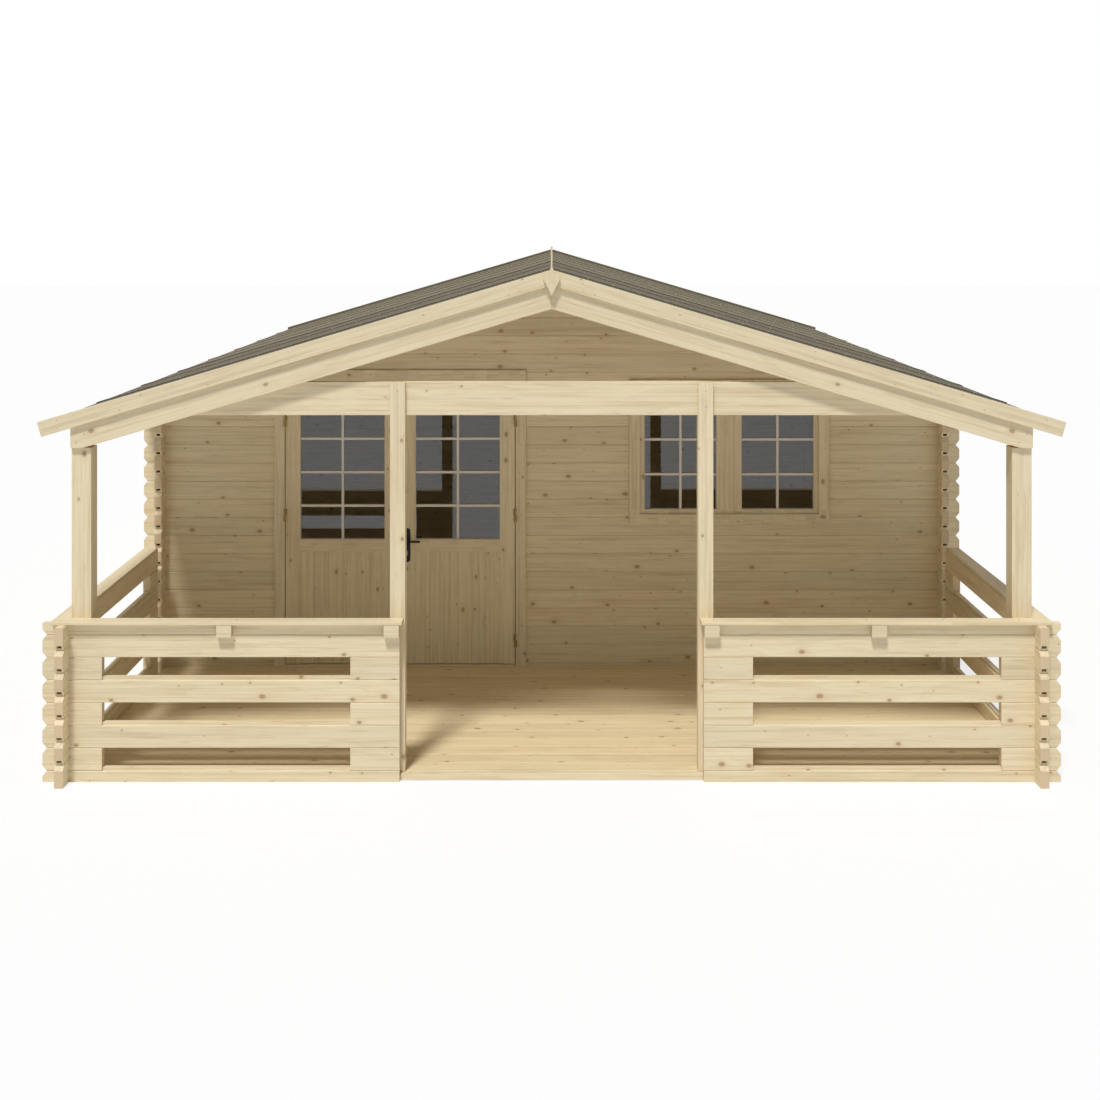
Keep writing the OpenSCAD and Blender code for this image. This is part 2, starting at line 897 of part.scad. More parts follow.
module pane_solid() {
    low = meet_gap / 2 + stile_w;
    middle = (leaf_y + leaf_back - glass_t) / 2;
    board([low - glass_seat, middle, glass_low - glass_seat],
        [low + glass_w + glass_seat, middle + glass_t, glass_top + glass_seat]);
}

module right_door_leaf() {
    color(planed) difference() {
        translate([door_x, 0, 0]) leaf();
        translate([lever_x, leaf_y - overrun, lever_z]) rotate([-90, 0, 0])
            cylinder(r = spindle_r + spindle_clear, h = leaf_t + 2 * overrun, $fn = fine);
    }
}

module left_door_leaf() {
    color(planed) translate([door_x, 0, 0]) mirror([1, 0, 0]) leaf();
}

module right_door_glass() {
    color(pane) translate([door_x, 0, 0]) pane_solid();
}

module left_door_glass() {
    color(pane) translate([door_x, 0, 0]) mirror([1, 0, 0]) pane_solid();
}

// Round stock along Y from one face to another, on the lever's axis
module on_lever_axis(y_low, y_high, radius) {
    translate([lever_x, y_low, lever_z]) rotate([-90, 0, 0])
        cylinder(r = radius, h = y_high - y_low, $fn = fine);
}

// A long back plate with half-round ends on each face of the leaf
module handle_plates() {
    low = lever_z - plate_axis_share * plate_h + plate_w / 2;
    high = low + plate_h - plate_w;
    color(bronze) for (y = [leaf_y - plate_t, leaf_back]) difference() {
        upright(y, y + plate_t) {
            for (z = [low, high]) translate([lever_x, z]) circle(plate_w / 2, $fn = fine);
            translate([lever_x - plate_w / 2, low]) square([plate_w, high - low]);
        }
        on_lever_axis(y - overrun, y + plate_t + overrun, neck_r + turn_clear);
    }
}

// The spindle joins a lever on each face, each turning in its plate on a round neck
module door_lever() {
    color(bronze) {
        on_lever_axis(leaf_y, leaf_back, spindle_r);
        on_lever_axis(leaf_y - lever_out, leaf_y, neck_r);
        on_lever_axis(leaf_back, leaf_back + lever_out, neck_r);
        for (y = [leaf_y - lever_out, leaf_back + lever_out]) translate([lever_x, y, lever_z]) {
            rotate([0, 90, 0]) cylinder(r = lever_r, h = lever_l, $fn = fine);
            sphere(neck_r, $fn = fine);
            translate([lever_l, 0, 0]) sphere(lever_r, $fn = fine);
        }
    }
}

// Closed ring in X and Z round the middle of the window
module ring(inside, low, top, width, foot, head) {
    difference() {
        translate([-inside - width, low - foot]) square([2 * (inside + width), top - low + foot + head]);
        translate([-inside, low]) square([2 * inside, top - low]);
    }
}

module window_frame() {
    half = window_w / 2;
    color(planed) translate([window_x, 0, 0]) {
        upright(leaf_y, wall_face)
            ring(half - sash_lap, window_low + sash_lap, window_head - sash_lap,
                casing_w, casing_w, window_head_casing);
        upright(wall_face, inner_face) {
            ring(half, window_low, window_head, jamb_t, jamb_t, jamb_t);
            translate([-mullion_w / 2, window_low]) square([mullion_w, window_h]);
        }
        upright(inner_face, inner_face + inner_casing_t)
            ring(half, window_low, window_head, inner_casing_w, inner_casing_w, inner_casing_w);
    }
}

// Right sash of the pair, and its pane
module sash() {
    low = mullion_w / 2;
    high = window_w / 2;
    difference() {
        board([low, sash_y, window_low], [high, sash_y + sash_t, window_head]);
        board([low + sash_w, sash_y - overrun, window_low + sash_w],
            [high - sash_w, sash_y + sash_t + overrun, window_head - sash_top]);
        sash_pane();
    }
}

module sash_pane() {
    middle = sash_y + (sash_t - glass_t) / 2;
    board([mullion_w / 2 + sash_w - glass_seat, middle, window_low + sash_w - glass_seat],
        [window_w / 2 - sash_w + glass_seat, middle + glass_t, window_head - sash_top + glass_seat]);
}

module window_sashes() {
    color(planed) translate([window_x, 0, 0]) both_sides() sash();
}

module window_glass() {
    color(pane) translate([window_x, 0, 0]) both_sides() sash_pane();
}

front_wall_left();
front_wall_middle();
front_wall_right();
front_wall_sill();
window_lintel();
front_gable();
left_wall();
right_wall();
back_wall();
back_gable();
front_rail_left();
front_rail_right();
side_rail_left();
side_rail_right();
front_rail_caps();
side_rail_caps();
cap_blocks();
corner_posts();
inner_posts();
tie_beam();
eaves_beams();
front_rafter_left();
front_rafter_right();
ridge_purlin();
side_purlins();
roof_boards_left();
roof_boards_right();
roof_felt_left();
roof_felt_right();
eaves_boards();
front_bargeboard_left();
front_bargeboard_right();
back_bargeboard_left();
back_bargeboard_right();
finial();
cabin_floor();
veranda_floor();
floor_bearers();
entrance_sill();
door_frame();
door_threshold();
frame_hinges();
left_door_leaf();
left_door_glass();
left_leaf_hinges();
right_door_leaf();
right_door_glass();
right_leaf_hinges();
handle_plates();
door_lever();
window_frame();
window_sashes();
window_glass();
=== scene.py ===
"""Log cabin with a veranda: boards, glazing bars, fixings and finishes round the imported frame.

The file is laid out as an add-on: sizes and colours are properties, each group of pieces is an
operator, and main() runs the operators in order. Lengths are in metres, X along the front, Y from
the veranda to the back and Z up.
"""

import math
from collections import namedtuple

import bmesh
import bpy
from bpy.props import FloatProperty, FloatVectorProperty, IntProperty, PointerProperty
from mathutils import Matrix, Vector


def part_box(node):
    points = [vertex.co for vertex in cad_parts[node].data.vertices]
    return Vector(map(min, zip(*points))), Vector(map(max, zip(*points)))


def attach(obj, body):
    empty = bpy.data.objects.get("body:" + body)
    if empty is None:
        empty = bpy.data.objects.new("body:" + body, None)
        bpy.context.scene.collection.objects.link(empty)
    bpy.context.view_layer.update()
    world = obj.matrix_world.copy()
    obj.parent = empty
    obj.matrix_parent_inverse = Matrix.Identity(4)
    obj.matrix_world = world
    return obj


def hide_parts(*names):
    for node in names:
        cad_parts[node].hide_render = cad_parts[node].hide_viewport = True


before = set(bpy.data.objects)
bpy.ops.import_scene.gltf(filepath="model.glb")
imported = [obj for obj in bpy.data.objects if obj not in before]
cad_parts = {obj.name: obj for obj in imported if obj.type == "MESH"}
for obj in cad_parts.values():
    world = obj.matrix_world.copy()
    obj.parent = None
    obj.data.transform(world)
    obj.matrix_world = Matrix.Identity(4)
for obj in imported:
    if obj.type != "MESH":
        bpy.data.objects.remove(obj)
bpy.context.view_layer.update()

bl_info = {
    "name": "Log Cabin Dressing",
    "version": (1, 0, 0),
    "blender": (4, 5, 0),
    "location": "3D View > Sidebar > Cabin",
    "description": "Dresses a log cabin's frame with boards, glazing bars, fixings and finishes",
    "category": "Object",
}


# Properties

def length(name, default, description):
    """A property that holds a length in metres."""
    return FloatProperty(name=name, description=description, default=default, min=0.0, unit="LENGTH")


def colour(name, default, description):
    """A property that holds a linear colour."""
    return FloatVectorProperty(
        name=name, description=description, default=default, subtype="COLOR", size=3, min=0.0, max=1.0
    )


class CabinSizes(bpy.types.PropertyGroup):
    """Sizes of the boards, bars and fixings that dress the frame."""

    log_pitch: length("Log pitch", 0.114, "Height of a wall log from joint to joint")
    roof_pitch: FloatProperty(
        name="Roof pitch", description="Slope of the roof", default=math.radians(16.5), subtype="ANGLE"
    )
    floor_board: length("Floor board", 0.12, "Width of a floor board with its joint")
    roof_board: length("Roof board", 0.0945, "Width of a roof board with its joint")
    board_joint: length("Board joint", 0.0015, "Gap between two boards")
    board_edge: length("Board edge", 0.0025, "Width of the bevel along a board's edges")
    beam_edge: length("Beam edge", 0.003, "Width of the bevel along the edges of posts and beams")
    trim_edge: length("Trim edge", 0.002, "Width of the bevel along the edges of casings and caps")
    glass_seat: length("Glass seat", 0.008, "Depth of a pane in the groove round it")
    bar_width: length("Bar width", 0.0155, "Width of a glazing bar")
    bar_depth: length("Bar depth", 0.011, "Height of a glazing bar over the pane")
    bead_width: length("Bead width", 0.003, "Width of the glazing bead round a pane")
    bar_edge: length("Bar edge", 0.001, "Width of the bevel along a glazing bar")
    screw_radius: length("Screw radius", 0.0045, "Radius of a wood screw's head")
    nail_radius: length("Nail radius", 0.0035, "Radius of a nail's head")
    clout_radius: length("Clout radius", 0.0075, "Radius of a felt nail's head")
    head_rise: length("Head rise", 0.0012, "Height of a screw or nail head over the wood")
    door_rows: IntProperty(name="Door rows", description="Panes in a door leaf's height", default=4, min=1)
    window_rows: IntProperty(name="Window rows", description="Panes in a sash's height", default=3, min=1)


class CabinFinishes(bpy.types.PropertyGroup):
    """Colours of the cabin's materials."""

    early_wood: colour("Early wood", (0.775, 0.668, 0.456), "Pale wood between the growth rings")
    late_wood: colour("Late wood", (0.585, 0.450, 0.262), "Darker lines of the growth rings")
    knot_rim: colour("Knot rim", (0.315, 0.185, 0.092), "Bark ring round a knot")
    knot_heart: colour("Knot heart", (0.42, 0.265, 0.140), "Middle of a knot")
    end_grain: colour("End grain", (0.64, 0.50, 0.325), "Sawn end of a log or board")
    floor_tint: colour("Floor tint", (1.0, 0.97, 0.90), "Tint of the floor boards beside the walls")
    felt_dark: colour("Felt dark", (0.060, 0.052, 0.036), "Darkest roofing felt")
    felt_light: colour("Felt light", (0.225, 0.190, 0.122), "Lightest roofing felt")
    brass: colour("Brass", (0.34, 0.24, 0.09), "Hinges")
    bronze: colour("Bronze", (0.030, 0.026, 0.023), "Handle and its plates")
    bar_tint: colour("Bar tint", (0.80, 0.74, 0.66), "Glazing bars, paler than the leaves round them")
    zinc: colour("Zinc", (0.52, 0.52, 0.50), "Screws and nails")
    glass: colour("Glass", (0.84, 0.84, 0.83), "Tint of the panes")


class CabinStage(bpy.types.PropertyGroup):
    """Camera, light and floor."""

    camera_place: FloatVectorProperty(
        name="Camera place", description="Where the camera stands", default=(0.0, -10.85, 2.785),
        subtype="TRANSLATION", unit="LENGTH"
    )
    camera_lens: FloatProperty(name="Lens", description="Focal length in millimetres", default=48.04)
    camera_shift: FloatVectorProperty(
        name="Shift", description="Sideways and upward shift of the view", default=(-0.0015, -0.2927), size=2
    )
    key_from: FloatVectorProperty(
        name="Key from", description="Direction that the key light comes from", default=(-0.32, -1.0, 1.95),
        subtype="DIRECTION"
    )
    key_strength: FloatProperty(name="Key strength", description="Strength of the key light", default=2.6)
    key_softness: FloatProperty(
        name="Key softness", description="Angle that the key light fills", default=math.radians(9),
        subtype="ANGLE"
    )
    sky_strength: FloatProperty(
        name="Sky strength", description="Strength of the light all round", default=0.30
    )
    floor_size: length("Floor size", 120.0, "Side of the floor")
    floor_colour: colour("Floor colour", (0.90, 0.90, 0.90), "Pale floor under the cabin")
    floor_white: FloatProperty(
        name="Floor white", description="Share of the floor's look that is plain white", default=0.76,
        subtype="FACTOR"
    )


def sizes():
    return bpy.context.scene.cabin_sizes


def finishes():
    return bpy.context.scene.cabin_finishes


def stage():
    return bpy.context.scene.cabin_stage


# Shader maths

class Wire:
    """An output socket that can stand in a sum: each sum adds a Math node."""

    def __init__(self, graph, socket):
        self.graph = graph
        self.socket = socket

    def maths(self, operation, *values):
        return self.graph.node("Math", {"operation": operation}, dict(enumerate(values)))

    def other(self, name):
        """Another output of the same node."""
        return Wire(self.graph, self.socket.node.outputs[name])

    def __add__(self, value):
        return self.maths("ADD", self, value)

    def __radd__(self, value):
        return self.maths("ADD", value, self)

    def __sub__(self, value):
        return self.maths("SUBTRACT", self, value)

    def __rsub__(self, value):
        return self.maths("SUBTRACT", value, self)

    def __mul__(self, value):
        return self.maths("MULTIPLY", self, value)

    def __rmul__(self, value):
        return self.maths("MULTIPLY", value, self)

    def __truediv__(self, value):
        return self.maths("DIVIDE", self, value)

    def __rtruediv__(self, value):
        return self.maths("DIVIDE", value, self)

    def __pow__(self, value):
        return self.maths("POWER", self, value)

    def __gt__(self, value):
        return self.maths("GREATER_THAN", self, value)

    def __lt__(self, value):
        return self.maths("LESS_THAN", self, value)

    def __abs__(self):
        return self.maths("ABSOLUTE", self)


class Graph:
    """The node tree of one material or world, emptied and ready to fill."""

    def __init__(self, owner):
        owner.use_nodes = True
        self.owner = owner
        self.tree = owner.node_tree
        self.tree.nodes.clear()

    def node(self, kind, settings=None, sockets=None, output=0):
        """Adds one node: its settings first, then the values or links of its sockets."""
        made = self.tree.nodes.new("ShaderNode" + kind)
        for name, value in (settings or {}).items():
            setattr(made, name, value)
        for key, value in (sockets or {}).items():
            if isinstance(value, Wire):
                self.tree.links.new(value.socket, made.inputs[key])
            else:
                made.inputs[key].default_value = value
        return Wire(self, made.outputs[output]) if made.outputs else None


def rgba(value):
    """A colour property as the four numbers that a colour socket holds."""
    return (*value, 1.0)


def floor_of(wire):
    return wire.maths("FLOOR", wire)


def fraction(wire):
    return wire.maths("FRACT", wire)


def hypot(a, b):
    squares = a * a + b * b
    return squares.maths("SQRT", squares)


def bell(wire):
    """A smooth hump, 1 where the value is 0."""
    power = 0.0 - wire * wire
    return power.maths("EXPONENT", power)


def fade(wire, low, high):
    """0 below low, 1 above high, and smooth between them."""
    return wire.graph.node(
        "MapRange", {"interpolation_type": "SMOOTHSTEP"}, {"Value": wire, "From Min": low, "From Max": high}
    )


def vector(graph, x, y, z):
    return graph.node("CombineXYZ", None, {0: x, 1: y, 2: z})


def noise(graph, place, detail=2.0, roughness=0.5):
    settings = {"noise_dimensions": "3D"}
    return graph.node(
        "TexNoise", settings, {"Vector": place, "Scale": 1.0, "Detail": detail, "Roughness": roughness}
    )


def chance(graph, number):
    """A number from 0 to 1 that looks drawn by lot, the same each time for the same input."""
    return graph.node("TexWhiteNoise", {"noise_dimensions": "1D"}, {"W": number})


def blend(graph, factor, first, second, mode="MIX"):
    """Mixes two colours."""
    settings = {"data_type": "RGBA", "blend_type": mode}
    return graph.node("Mix", settings, {0: factor, 6: first, 7: second}, 2)


def grey(graph, wire):
    """A number as a grey colour."""
    return graph.node("CombineColor", None, {0: wire, 1: wire, 2: wire})


def surface(graph, sockets):
    """Ends a material in a Principled shader."""
    shader = graph.node("BsdfPrincipled", None, sockets)
    graph.node("OutputMaterial", None, {"Surface": shader})
    return graph.owner


def bump(graph, height, strength, distance):
    return graph.node("Bump", None, {"Height": height, "Strength": strength, "Distance": distance})


# Spruce

Grain = namedtuple("Grain", "along across through")
Boards = namedtuple("Boards", "axis width first")


class Spruce:
    """A spruce material whose grain, boards and knots follow the way that its piece is sawn.

    grain names the axes along the grain, across the face and through the board, each one of
    x, y, z, or s and n for down the slope and square to it. boards gives the axis and width of
    the boards that get a tone of their own. cross marks where the grain turns to another way.
    """

    RING = 0.0038
    FIBRES = 260.0
    KNOT_CELL = 0.23
    KNOT_RADIUS = 0.0125

    def __init__(self, name, grain, boards, side=1, tint=None, tone=0.035, cross=None, knots=0.7):
        self.graph = Graph(bpy.data.materials.new(name))
        self.place = self.graph.node("TexCoord", output="Object")
        self.axes = self.find_axes(self.place, side)
        normals = self.find_axes(self.place.other("Normal"), side)
        self.boards = boards
        index = floor_of((self.axes[boards.axis] - boards.first) / boards.width)
        along, across, through = (self.axes[axis] for axis in grain)
        sawn = abs(normals[grain.along])
        if cross:
            mask, other = cross(self.axes)
            along, across, through = (
                wire + mask * (self.axes[axis] - wire) for wire, axis in zip((along, across, through), other)
            )
            sawn = sawn + mask * (abs(normals[other.along]) - sawn)
            index = index + mask * 17.0
        self.lot = chance(self.graph, index)
        self.lots = self.lot.other("Color")
        self.material = self.build(along, across, through, sawn, tint, tone, knots)

    def find_axes(self, place, side):
        parts = self.graph.node("SeparateXYZ", None, {0: place})
        x, y, z = parts, parts.other("Y"), parts.other("Z")
        cos, sin = math.cos(sizes().roof_pitch), math.sin(sizes().roof_pitch)
        return {
            "x": x, "y": y, "z": z,
            "s": x * (side * cos) - z * sin,
            "n": x * (side * sin) + z * cos,
        }

    def knots(self, along, across, share):
        """Distance to the nearest knot's middle, its radius, and how far its grain is pushed aside."""
        graph = self.graph
        width = self.boards.width
        cell = vector(graph, along / self.KNOT_CELL, across / width, 0.0)
        settings = {"voronoi_dimensions": "2D", "feature": "F1"}
        found = graph.node("TexVoronoi", settings, {"Vector": cell, "Scale": 1.0, "Randomness": 0.8}, "Color")
        parts = graph.node("SeparateColor", None, {0: found})
        spot = graph.node("SeparateXYZ", None, {0: found.other("Position")})
        beside = (along / self.KNOT_CELL - spot) * self.KNOT_CELL
        over = (across / width - spot.other("Y")) * width
        distance = hypot(beside * 0.7, over)
        size = parts.other("Green")
        radius = (size * size + 0.25) * (self.KNOT_RADIUS / 1.25) * (parts < share) + 0.00001
        pushed = bell(distance / (radius * 2.4)) * radius * over.maths("SIGN", over)
        return distance, radius, pushed

    def build(self, along, across, through, sawn, tint, tone, share):
        graph, look = self.graph, finishes()
        lots = graph.node("SeparateColor", None, {0: self.lots})
        along = along + self.lot * 37.0
        distance, radius, pushed = self.knots(along, across, share)

        def streaked(length_scale, width_scale, detail, roughness=0.5):
            """Noise drawn out along the grain."""
            place = vector(graph, along * length_scale, across * width_scale, through * width_scale)
            return noise(graph, place, detail, roughness)

        # Growth rings round a heart that lies behind the face, drifting along the board
        drift = streaked(0.9, 5.0, 2.0) * 0.030
        heart = (lots.other("Green") - 0.5) * 0.05
        face = fraction((across - self.boards.first) / self.boards.width) * self.boards.width
        middle = face - self.boards.width / 2 - heart + pushed
        depth = through + 0.035 + lots.other("Blue") * 0.03
        round_heart = hypot(middle, depth) + drift
        rings = fraction(round_heart / self.RING) ** 2.6
        fibres = streaked(5.0, self.FIBRES, 3.0, 0.6)
        streaks = streaked(1.3, 75.0, 3.0, 0.55)
        clouds = streaked(0.8, 3.0, 2.0)
        dashes = streaked(7.0, 150.0, 2.0)
        bands = streaked(1.9, 30.0, 3.0, 0.6)

        dark = rings * 0.16 + fade(streaks, 0.43, 0.76) * 0.50 + fade(bands, 0.48, 0.70) * 0.34
        dark = dark + (fibres - 0.5) * 0.30 + fade(dashes, 0.58, 0.74) * 0.42
        colour_now = blend(graph, dark, rgba(look.early_wood), rgba(look.late_wood))
        end_rings = fraction(round_heart / (self.RING * 1.3)) ** 2.0
        end_colour = blend(graph, end_rings * 0.6, rgba(look.end_grain), rgba(look.late_wood))
        end_mask = fade(sawn, 0.75, 0.9)
        colour_now = blend(graph, end_mask, colour_now, end_colour)

        # Tone of each board, and slow changes along it
        level = 1.0 + (self.lot - 0.55) * (2 * tone) + (clouds - 0.5) * 0.12
        colour_now = blend(graph, 1.0, colour_now, grey(graph, level), "MULTIPLY")
        warm = fade(lots.other("Blue"), 0.5, 1.0) * 0.09
        colour_now = blend(graph, warm, colour_now, (0.95, 0.84, 0.70, 1.0), "MULTIPLY")
        if tint is not None:
            colour_now = blend(graph, 1.0, colour_now, rgba(tint), "MULTIPLY")

        # Knots: a dark rim, a brown heart with rings of its own and a warm halo
        halo = bell(distance / (radius * 2.0)) * (radius > 0.001) * 0.45
        colour_now = blend(graph, halo, colour_now, rgba(look.late_wood))
        knot_rings = fraction(distance / 0.0022) * 0.4
        rim = fade(distance / radius, 0.5, 1.0) * 0.7
        knot = blend(graph, knot_rings, rgba(look.knot_heart), rgba(look.knot_rim))
        knot = blend(graph, rim, knot, rgba(look.knot_rim))
        inside = 1.0 - fade(distance / radius, 0.55, 1.3)
        inside = inside * (1.0 - end_mask)
        colour_now = blend(graph, inside * 0.85, colour_now, knot)

        rough = 0.62 - rings * 0.10 + (fibres - 0.5) * 0.16 - inside * 0.14
        relief = rings * 0.5 + fibres * 0.5 + inside * 0.6
        return surface(graph, {
            "Base Color": colour_now,
            "Roughness": rough,
            "Normal": bump(graph, relief, 0.22, 0.0006),
            "Specular IOR Level": 0.35,
        })


def spruce(name, grain, boards, **options):
    return Spruce(name, Grain(*grain), Boards(*boards), **options).material


# Other finishes

# Width of a felt sheet, start of the lots that give the sheets their tone, and front of the paler rear sheets
FELT_SHEET = 0.9
FELT_LOT = 4.0
FELT_REAR = -0.75


def roofing_felt(name):
    """Mineral felt: granules in bitumen, each sheet in a tone of its own, with streaks down the slope, a
    paler band across each lap and a painted shadow along each lap's front edge.
    """
    graph, look = Graph(bpy.data.materials.new(name)), finishes()
    place = graph.node("TexCoord", output="Object")
    parts = graph.node("SeparateXYZ", None, {0: place})
    x, y = parts, parts.other("Y")
    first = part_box("roof_felt_right")[0].y
    sheet = floor_of((y - first) / FELT_SHEET)
    lot = chance(graph, sheet * 1.7 + FELT_LOT)
    rear = fade(y, FELT_REAR, FELT_REAR + 0.05)
    granules = noise(graph, vector(graph, x * 520.0, y * 520.0, 0.0), 2.0, 0.7)
    mottle = noise(graph, vector(graph, x * 9.0, y * 9.0, 0.0), 4.0, 0.6)
    streaks = noise(graph, vector(graph, x * 0.7, y * 22.0, 0.0), 3.0, 0.6)
    within = fraction((y - first) / FELT_SHEET)
    # A paler band across each lap
    paler_mark = bell((within - 0.06) / 0.05) * 0.35
    # Painted shadow: a dark line along the front edge of each lap
    lap_shadow = fade(within, 0.93, 0.995) * 0.8
    tone = lot * 0.12 + rear * 0.26 + paler_mark - lap_shadow + 0.28
    tone = tone + (granules - 0.5) * 0.9 + (mottle - 0.5) * 0.45 + (streaks - 0.5) * 0.3
    base = blend(graph, fade(tone, -0.1, 1.0), rgba(look.felt_dark), rgba(look.felt_light))
    return surface(graph, {
        "Base Color": base,
        "Roughness": 0.95 - granules * 0.18,
        "Normal": bump(graph, granules * 0.8 + mottle * 0.2, 0.55, 0.0012),
        "Specular IOR Level": 0.3,
    })


def metal(name, base, roughness, shine, wear):
    """A metal with smudges, fine scratches and brighter worn patches."""
    graph = Graph(bpy.data.materials.new(name))
    place = graph.node("TexCoord", output="Object")
    parts = graph.node("SeparateXYZ", None, {0: place})
    x, y, z = parts, parts.other("Y"), parts.other("Z")
    smudge = noise(graph, vector(graph, x * 60.0, y * 60.0, z * 60.0), 4.0, 0.6)
    scratch = noise(graph, vector(graph, x * 900.0, y * 900.0, z * 40.0), 2.0)
    paler_mark = fade(smudge, 0.52, 0.75) * wear
    bright = tuple(min(1.0, channel * 1.9 + 0.02) for channel in base)
    dull = tuple(channel * 0.7 for channel in base)
    tone = blend(graph, smudge, rgba(dull), rgba(base))
    tone = blend(graph, paler_mark, tone, rgba(bright))
    return surface(graph, {
        "Base Color": tone,
        "Metallic": shine,
        "Roughness": roughness + (smudge - 0.5) * 0.2 + (scratch - 0.5) * 0.12,
        "Normal": bump(graph, scratch, 0.08, 0.0002),
    })


def fastener_metal():
    """The zinc of the screws and nails, made once."""
    return bpy.data.materials.get("zinc") or metal("zinc", finishes().zinc, 0.42, 0.9, 0.2)


def pane_glass(name):
    """Clear glass with a faint ripple and wiped dust."""
    graph, look = Graph(bpy.data.materials.new(name)), finishes()
    place = graph.node("TexCoord", output="Object")
    parts = graph.node("SeparateXYZ", None, {0: place})
    x, z = parts, parts.other("Z")
    ripple = noise(graph, vector(graph, x * 5.0, 0.0, z * 3.0), 1.0)
    dust = noise(graph, vector(graph, x * 40.0, 0.0, z * 24.0), 5.0, 0.7)
    tint = blend(graph, fade(dust, 0.45, 0.8) * 0.25, rgba(look.glass), (0.62, 0.64, 0.62, 1.0))
    return surface(graph, {
        "Base Color": tint,
        "Roughness": fade(dust, 0.5, 0.85) * 0.05,
        "Transmission Weight": 1.0,
        "IOR": 1.62,
        "Normal": bump(graph, ripple, 0.04, 0.002),
    })


# Shapes

# A screw or nail head: its sides, and shares of its radius and rise
HEAD_SIDES = 10
HEAD_TAPER_SHARE = 0.86
HEAD_RIM_SHARE = 0.42
HEAD_DISH_SHARE = 0.6

# Softened frame edges: how near corners are joined, and how sharp an edge is rounded
JOIN_REACH = 0.00002
SHARP_ANGLE = math.radians(30)


def all_edges(vertices):
    return list({edge for vertex in vertices for edge in vertex.link_edges})


def add_board(shape, low, high, edge):
    """Adds a board between two corners, with bevelled edges, and returns its vertices."""
    low, high = Vector(low), Vector(high)
    place = Matrix.Translation((low + high) / 2) @ Matrix.Diagonal((*(high - low), 1.0))
    made = bmesh.ops.create_cube(shape, size=1.0, matrix=place)
    bevelled = bmesh.ops.bevel(
        shape, geom=all_edges(made["verts"]), offset=edge, offset_type="OFFSET", segments=1,
        profile=0.5, affect="EDGES", material=-1
    )
    return bevelled["verts"]


def add_head(shape, place, normal, radius, rise, sunk=0.002):
    """Adds a round screw or nail head with a domed rim and a dished middle."""
    turn = Vector(normal).to_track_quat("Z", "Y").to_matrix().to_4x4()
    centre = Vector(place) + Vector(normal) * ((rise - sunk) / 2)
    made = bmesh.ops.create_cone(
        shape, cap_ends=True, cap_tris=False, segments=HEAD_SIDES, radius1=radius,
        radius2=radius * HEAD_TAPER_SHARE, depth=rise + sunk, matrix=Matrix.Translation(centre) @ turn
    )
    faces = {face for vertex in made["verts"] for face in vertex.link_faces}
    top = max(faces, key=lambda face: face.calc_center_median().dot(Vector(normal)))
    bmesh.ops.inset_region(
        shape, faces=[top], thickness=radius * HEAD_RIM_SHARE, depth=-rise * HEAD_DISH_SHARE
    )


def add_piece(name, shape, material, body, stands_for=()):
    """Makes a piece from a finished shape, riding on a body."""
    mesh = bpy.data.meshes.new(name)
    bmesh.ops.recalc_face_normals(shape, faces=shape.faces)
    shape.to_mesh(mesh)
    shape.free()
    mesh.materials.append(material)
    piece = bpy.data.objects.new(name, mesh)
    bpy.context.scene.collection.objects.link(piece)
    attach(piece, body)
    if stands_for:
        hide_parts(*stands_for)
    return piece


def steps(low, high, spacing):
    """Evenly spaced places from low to high, no further apart than spacing."""
    count = max(1, math.ceil((high - low) / spacing - 1e-6))
    return [low + (high - low) * i / count for i in range(count + 1)]


def spans(low, high, width):
    """Neighbouring strips of one width that fill low to high, the last one cut to fit."""
    count = math.ceil((high - low) / width - 1e-6)
    return [(low + i * width, min(high, low + (i + 1) * width)) for i in range(count)]


def dress(material, *nodes):
    """Gives CAD nodes a material."""
    for name in nodes:
        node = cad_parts[name]
        node.data.materials.clear()
        node.data.materials.append(material)


def soften(width, *nodes):
    """Rounds the sharp edges of CAD nodes a little, on their joined-up triangles."""
    for name in nodes:
        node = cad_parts[name]
        weld = node.modifiers.new("join", "WELD")
        weld.merge_threshold = JOIN_REACH
        round_off = node.modifiers.new("edges", "BEVEL")
        round_off.width = width
        round_off.segments = 2
        round_off.limit_method = "ANGLE"
        round_off.angle_limit = SHARP_ANGLE
        round_off.loop_slide = False


def add_row(shape, start, end, spacing, normal, radius):
    """Adds a row of nail or screw heads between two places on a face."""
    start, end = Vector(start), Vector(end)
    count = max(1, round((end - start).length / spacing))
    for i in range(count + 1):
        add_head(shape, start.lerp(end, i / count), normal, radius, sizes().head_rise)


# Operators

class DressOperator(bpy.types.Operator):
    """Base of the operators that dress the cabin."""

    bl_options = {"REGISTER", "UNDO"}


class CABIN_OT_logs(DressOperator):
    """Finish the log walls and rails."""

    bl_idname = "cabin.logs"
    bl_label = "Log walls and rails"

    ALONG_FRONT = (
        "front_wall_left", "front_wall_middle", "front_wall_right", "front_wall_sill", "window_lintel",
        "front_gable", "back_wall", "back_gable", "front_rail_left", "front_rail_right",
    )
    ALONG_SIDE = ("left_wall", "right_wall", "side_rail_left", "side_rail_right")

    def execute(self, context):
        pitch = sizes().log_pitch
        front = spruce("front_logs", "xzy", ("z", pitch, pitch / 2), tone=0.05)
        side = spruce("side_logs", "yzx", ("z", pitch, 0.0), tone=0.05)
        dress(front, *self.ALONG_FRONT)
        dress(side, *self.ALONG_SIDE)
        return {"FINISHED"}


